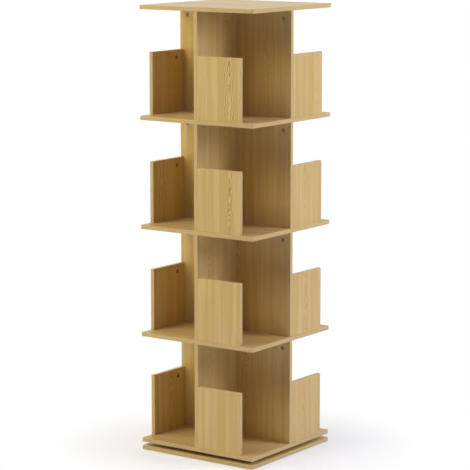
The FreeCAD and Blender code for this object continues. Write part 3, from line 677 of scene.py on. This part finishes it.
# The band's arris line is paler: partly wear, partly a painted highlight.
BAND_WEAR_AND_HIGHLIGHT_CELLS, BAND_PALER = (60, 60, 0), 0.4
ARRIS_LINE = (0.1 * MM, 0.8 * MM)
BAND_ROUGHNESS = (0.50, 0.60)
BAND_GRAIN_DEPTH = 0.08 * MM

band_oak, tree, shader = surface("edge_band_oak")
flat_place = put(tree, "ShaderNodeUVMap", uv_map="along_the_band").outputs["UV"]
slow = stretched_noise(tree, flat_place, SLOW_CELLS)["Fac"]
fine = stretched_noise(tree, flat_place, FINE_CELLS, 3.0)["Fac"]
dashes = between(tree, stretched_noise(tree, flat_place, DASH_CELLS)["Fac"], *PORE_LIMITS)
colour = blend_colours(tree, between(tree, slow, *SLOW_LIMITS, 0.0, SLOW_SHARE), BAND_OAK, OAK_MIDDLE)
colour = blend_colours(tree, between(tree, fine, *FIBRE_LIMITS, 0.0, FINE_SHARE), colour, OAK_LATE)
colour = blend_colours(tree, calc(tree, "MULTIPLY", dashes, DASH_SHARE), colour, OAK_LATE)

# A paler line down each arris: wear and a painted highlight.
arris_place = board_thickness / 2 - ARRIS_RADIUS + (ARRIS_RADIUS + BAND_PROUD) * math.pi / 4
from_strip_middle = calc(tree, "ABSOLUTE", parts(tree, flat_place)[1])
from_line = calc(tree, "ABSOLUTE", calc(tree, "SUBTRACT", from_strip_middle, arris_place))
line = between(tree, from_line, *ARRIS_LINE, 1.0, 0.0)
broken = between(tree, stretched_noise(tree, flat_place, BAND_WEAR_AND_HIGHLIGHT_CELLS, 3.0)["Fac"], *WEAR_AND_HIGHLIGHT_LIMITS)
rubbed_and_highlit = calc(tree, "MULTIPLY", line, broken)
roughness = between(tree, fine, *GLOSS_LIMITS, *BAND_ROUGHNESS)
height = calc(tree, "SUBTRACT", calc(tree, "MULTIPLY", fine, FIBRE_HEIGHT), dashes)
finish_laminate(tree, shader, colour, roughness, height, BAND_GRAIN_DEPTH, rubbed_and_highlit, BAND_PALER)
print("band material:", len(tree.nodes), "nodes")

# %% [markdown]
# A square board has one closed strip round its four sides. A partition has one up each free end. A low
# panel's strip climbs its free end, turns round the corner and runs back along the top to the partition.


# %% Bands of the boards
def face_middle(node, direction):
    """The middle of a box's face on one side: the box's middle plus half its size along that direction."""
    low, high = map(np.array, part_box(node))
    return (low + high) / 2 + (high - low) / 2 * direction


for node in BOARDS:
    middle = face_middle(node, CENTRE)
    reach = (face_middle(node, WIDE) - middle)[0] - CORNER_RADIUS
    sides = (WIDE, DEEP, -WIDE, -DEEP)
    turns = [turn_of_path(middle + reach * (one + next_one), CORNER_RADIUS, one, next_one)
             for one, next_one in zip(sides, sides[1:] + sides[:1])]
    points, outward = (np.vstack(rows) for rows in zip(*turns))
    body = "base" if node == "base_board" else "carcass"
    band_piece(node, [(points, outward, UP, True)], body)
print(len(BOARDS), "boards banded on four sides")


# %% Bands of the partitions and low panels
def upright_strip(node, outward, across):
    """A straight strip up one end of a partition: the middle of that end, less and plus half its height."""
    rise = face_middle(node, UP) - face_middle(node, CENTRE)
    end = face_middle(node, outward)
    return np.array([end - rise, end + rise]), np.array([outward, outward]), across, False


def panel_strip(node, end, across):
    """A strip up the free end of a low panel, round its corner and back along its top to the partition."""
    (foot, head), _, _, _ = upright_strip(node, end, across)
    turn, outward = turn_of_path(head - ARRIS_RADIUS * (end + UP), ARRIS_RADIUS, end, UP)
    root = face_middle(node, UP) + face_middle(node, -end) - face_middle(node, CENTRE)
    return np.vstack((foot, turn, root)), np.vstack((end, outward, UP)), across, False


FREE_ENDS = {"front": (WIDE, DEEP), "right": (DEEP, WIDE), "back": (-WIDE, DEEP), "left": (-DEEP, WIDE)}
for tier in TIERS:
    node = f"full_partition_{tier}"
    band_piece(node, [upright_strip(node, end, DEEP) for end in (WIDE, -WIDE)], "carcass")
    for half, end in {"front": -DEEP, "back": DEEP}.items():
        node = f"{half}_half_partition_{tier}"
        band_piece(node, [upright_strip(node, end, WIDE)], "carcass")
    for side, (end, across) in FREE_ENDS.items():
        node = f"{side}_low_panel_{tier}"
        band_piece(node, [panel_strip(node, end, across)], "carcass")
print(len(TIERS) * 7, "upright boards banded")

# %% [markdown]
# ## Metal, plastic and felt
#
# The cam locks are cast zinc, which ages to a dull dark grey: fairly rough, with a fine cast grain. Screws
# and bolts are drawn steel with a thin zinc coat, the bearing rings are turned aluminium, and the balls are
# polished. The cage is moulded plastic, the dowels are beech and the floor pads are felt. One noise at the
# scale of the making varies the colour, the gloss and the relief of each.


# %% Metals
MOTTLE_LIMITS = (0.3, 0.7)
METAL_DARKEST = 0.72
METAL_GLOSS = (0.08, -0.05)
METAL_GRAIN_DEPTH = 0.05 * MM


def metal(name, colour, roughness, cells, grain):
    """A metal whose colour, gloss and fine relief follow a noise of so many cells per metre."""
    material, tree, shader = surface(name)
    place = put(tree, "ShaderNodeTexCoord").outputs["Object"]
    mottle = stretched_noise(tree, place, cells, 3.0)["Fac"]
    tint = blend_colours(tree, between(tree, mottle, *MOTTLE_LIMITS), darker(colour, METAL_DARKEST), colour)
    tree.links.new(tint, shader.inputs["Base Color"])
    rougher, smoother = (roughness + change for change in METAL_GLOSS)
    tree.links.new(between(tree, mottle, *MOTTLE_LIMITS, rougher, smoother), shader.inputs["Roughness"])
    shader.inputs["Metallic"].default_value = 1.0
    relief = {"Height": mottle, "Strength": grain, "Distance": METAL_GRAIN_DEPTH}
    tree.links.new(put(tree, "ShaderNodeBump", relief).outputs[0], shader.inputs["Normal"])
    return material


# For each: its colour and roughness, the cells per metre of its noise and the strength of its relief. The
# drawn and turned ones have more cells along Z, so that their marks run round an upright axis.
dress("cam_locks", metal("cast_zinc", screen(132, 125, 112), 0.5, (900, 900, 900), 0.5))
coated = metal("coated_steel", screen(196, 194, 186), 0.32, (300, 300, 1400), 0.4)
for node in ("partition_cam_bolts", "panel_cam_bolts", "assembly_screws", "lower_ring_screws",
             "upper_ring_screws"):
    dress(node, coated)
aluminium = metal("turned_aluminium", screen(208, 210, 212), 0.3, (120, 120, 2600), 0.3)
for node in ("turntable_lower_ring", "turntable_upper_ring"):
    dress(node, aluminium)
dress("turntable_balls", metal("polished_steel", screen(224, 224, 226), 0.12, (700, 700, 700), 0.1))
print("metals made")


# %% Plastic, felt and dowels
MATTE_DARKEST = 0.7
MATTE_LIMITS, MATTE_GLOSS = (0.2, 0.8), 0.06


def matte(name, colour, roughness, cells, strength, grain_depth):
    """A matte material with an even mottle of so many cells per metre and a relief of that depth."""
    material, tree, shader = surface(name)
    place = put(tree, "ShaderNodeTexCoord").outputs["Object"]
    mottle = stretched_noise(tree, place, cells, 4.0)["Fac"]
    tint = blend_colours(tree, between(tree, mottle, *MOTTLE_LIMITS), darker(colour, MATTE_DARKEST), colour)
    tree.links.new(tint, shader.inputs["Base Color"])
    uneven = between(tree, mottle, *MATTE_LIMITS, roughness - MATTE_GLOSS, roughness + MATTE_GLOSS)
    tree.links.new(uneven, shader.inputs["Roughness"])
    relief = {"Height": mottle, "Strength": strength, "Distance": grain_depth}
    tree.links.new(put(tree, "ShaderNodeBump", relief).outputs[0], shader.inputs["Normal"])
    return material


moulded = matte("cage_plastic", screen(226, 224, 216), 0.45, (260, 260, 260), 0.2, 0.05 * MM)
dress("turntable_ball_cage", moulded)
felt = matte("felt", screen(92, 78, 62), 0.92, (1600, 1600, 1600), 0.9, 0.4 * MM)
dress("floor_pads", felt)
beech = matte("dowel_beech", screen(206, 172, 128), 0.6, (500, 500, 90), 0.4, 0.1 * MM)
for node in ("dowels", "centre_dowels"):
    dress(node, beech)
print("plastic, felt and dowels made")

# %% [markdown]
# ## Floor and white room
#
# The bookcase stands on a pale floor in a white room. The white is only what the camera, mirrors and glass
# see: a Light Path node gives those rays full white, and all other rays none, so the room can't wash the wood
# out. Large soft lamps do the lighting.
#
# The floor has to keep the shadow of the bookcase and yet end in the white of the room without a line. So
# what is seen of it is a mix of the real floor and plain white: half and half under the base and just round
# it, where the shadow is, and more and more white from there to 0.6 m from the axis, where the floor is lost.


# %% Floor
def seen_or_mirrored(tree):
    """1 for rays of the camera, a mirror or glass, and 0 for rays that carry light."""
    path = put(tree, "ShaderNodeLightPath").outputs
    mirrored = calc(tree, "MAXIMUM", path["Is Glossy Ray"], path["Is Transmission Ray"])
    return calc(tree, "MAXIMUM", path["Is Camera Ray"], mirrored)


FLOOR_RADIUS = 14
FLOOR_RIM_POINTS = 96
# How far from the axis the floor starts and ends turning white, and the share of white before and after.
WHITENING = (0.23, 0.6)
WHITE_SHARES = (0.5, 1.0)
angles = np.linspace(0, 2 * math.pi, FLOOR_RIM_POINTS, endpoint=False)
rim = FLOOR_RADIUS * np.column_stack((np.cos(angles), np.sin(angles), np.zeros(FLOOR_RIM_POINTS)))
floor_mesh = bpy.data.meshes.new("floor")
floor_mesh.from_pydata(rim.tolist(), [], [list(range(FLOOR_RIM_POINTS))])
floor = bpy.data.objects.new("floor", floor_mesh)
bpy.context.scene.collection.objects.link(floor)

floor_material, tree, shader = surface("pale_floor")
shader.inputs["Base Color"].default_value = screen(252, 253, 255)
shader.inputs["Roughness"].default_value = 0.9
shader.inputs["Specular IOR Level"].default_value = 0.0
place = put(tree, "ShaderNodeTexCoord").outputs["Object"]
from_axis = put(tree, "ShaderNodeVectorMath", {0: place}, operation="LENGTH").outputs["Value"]
plain_white = put(tree, "ShaderNodeEmission", {"Color": (1, 1, 1, 1), "Strength": 1.0}).outputs[0]
white_share = between(tree, from_axis, *WHITENING, *WHITE_SHARES)
seen_white = calc(tree, "MULTIPLY", seen_or_mirrored(tree), white_share)
mixed = put(tree, "ShaderNodeMixShader", {0: seen_white, 1: shader.outputs[0], 2: plain_white}).outputs[0]
tree.links.new(mixed, tree.nodes["Material Output"].inputs["Surface"])
floor_mesh.materials.append(floor_material)
print("floor made")

# %% Sky
world = bpy.data.worlds.new("white_room")
bpy.context.scene.world = world
world.use_nodes = True
background = world.node_tree.nodes["Background"]
background.inputs["Color"].default_value = (1, 1, 1, 1)
world.node_tree.links.new(seen_or_mirrored(world.node_tree), background.inputs["Strength"])
print("white sky made, for the camera, mirrors and glass only")

# %% [markdown]
# ## Lamps
#
# Five round lamps, each as wide as a studio umbrella, stand 4.2 m from the middle of the bookcase and look
# at it. The right one is the strongest and nearly white. The front and left ones are warm, the back one
# stands behind on the left, and the one above is weak and blue, as light from a window is. Their powers were
# balanced against each other so that each side of the bookcase gets about the same light and its colours
# come out about as they are written, from wherever it is seen.
#
# A flat board mirrors a lamp as one large pale patch, which would sit somewhere else in each view. So the
# lamps light the bookcase but aren't mirrored in it, and every sheen on it comes from the white room.

# %% Lamps
LAMP_DISTANCE = 4.2
LAMP_WIDTH = 2.4
LAMP_AIM = Vector((0, 0, 0.65))
# For each lamp: azimuth from the front and elevation, in degrees, and its watts of red, green and blue.
LAMPS = {
    "left": (-66, 12, (80, 77, 47)),
    "front": (-28, 43, (99, 87, 54)),
    "right": (114, 26, (132, 128, 132)),
    "top": (5, 62, (10, 13, 48)),
    "back": (215, 20, (50, 50, 54)),
}
for name, (azimuth, elevation, watts) in LAMPS.items():
    around, up = math.radians(azimuth), math.radians(elevation)
    away = Vector((math.sin(around) * math.cos(up), -math.cos(around) * math.cos(up), math.sin(up)))
    data = bpy.data.lights.new(name, "AREA")
    data.shape = "DISK"
    data.size = LAMP_WIDTH
    data.energy = max(watts)
    data.color = [power / max(watts) for power in watts]
    lamp = bpy.data.objects.new(name, data)
    lamp.location = LAMP_AIM + away * LAMP_DISTANCE
    lamp.rotation_euler = away.to_track_quat("Z", "Y").to_euler()
    lamp.visible_glossy = False
    bpy.context.scene.collection.objects.link(lamp)
    print(name, "lamp at", tuple(round(value, 2) for value in lamp.location), "with", max(watts), "W")
bpy.context.scene.view_settings.view_transform = "Standard"
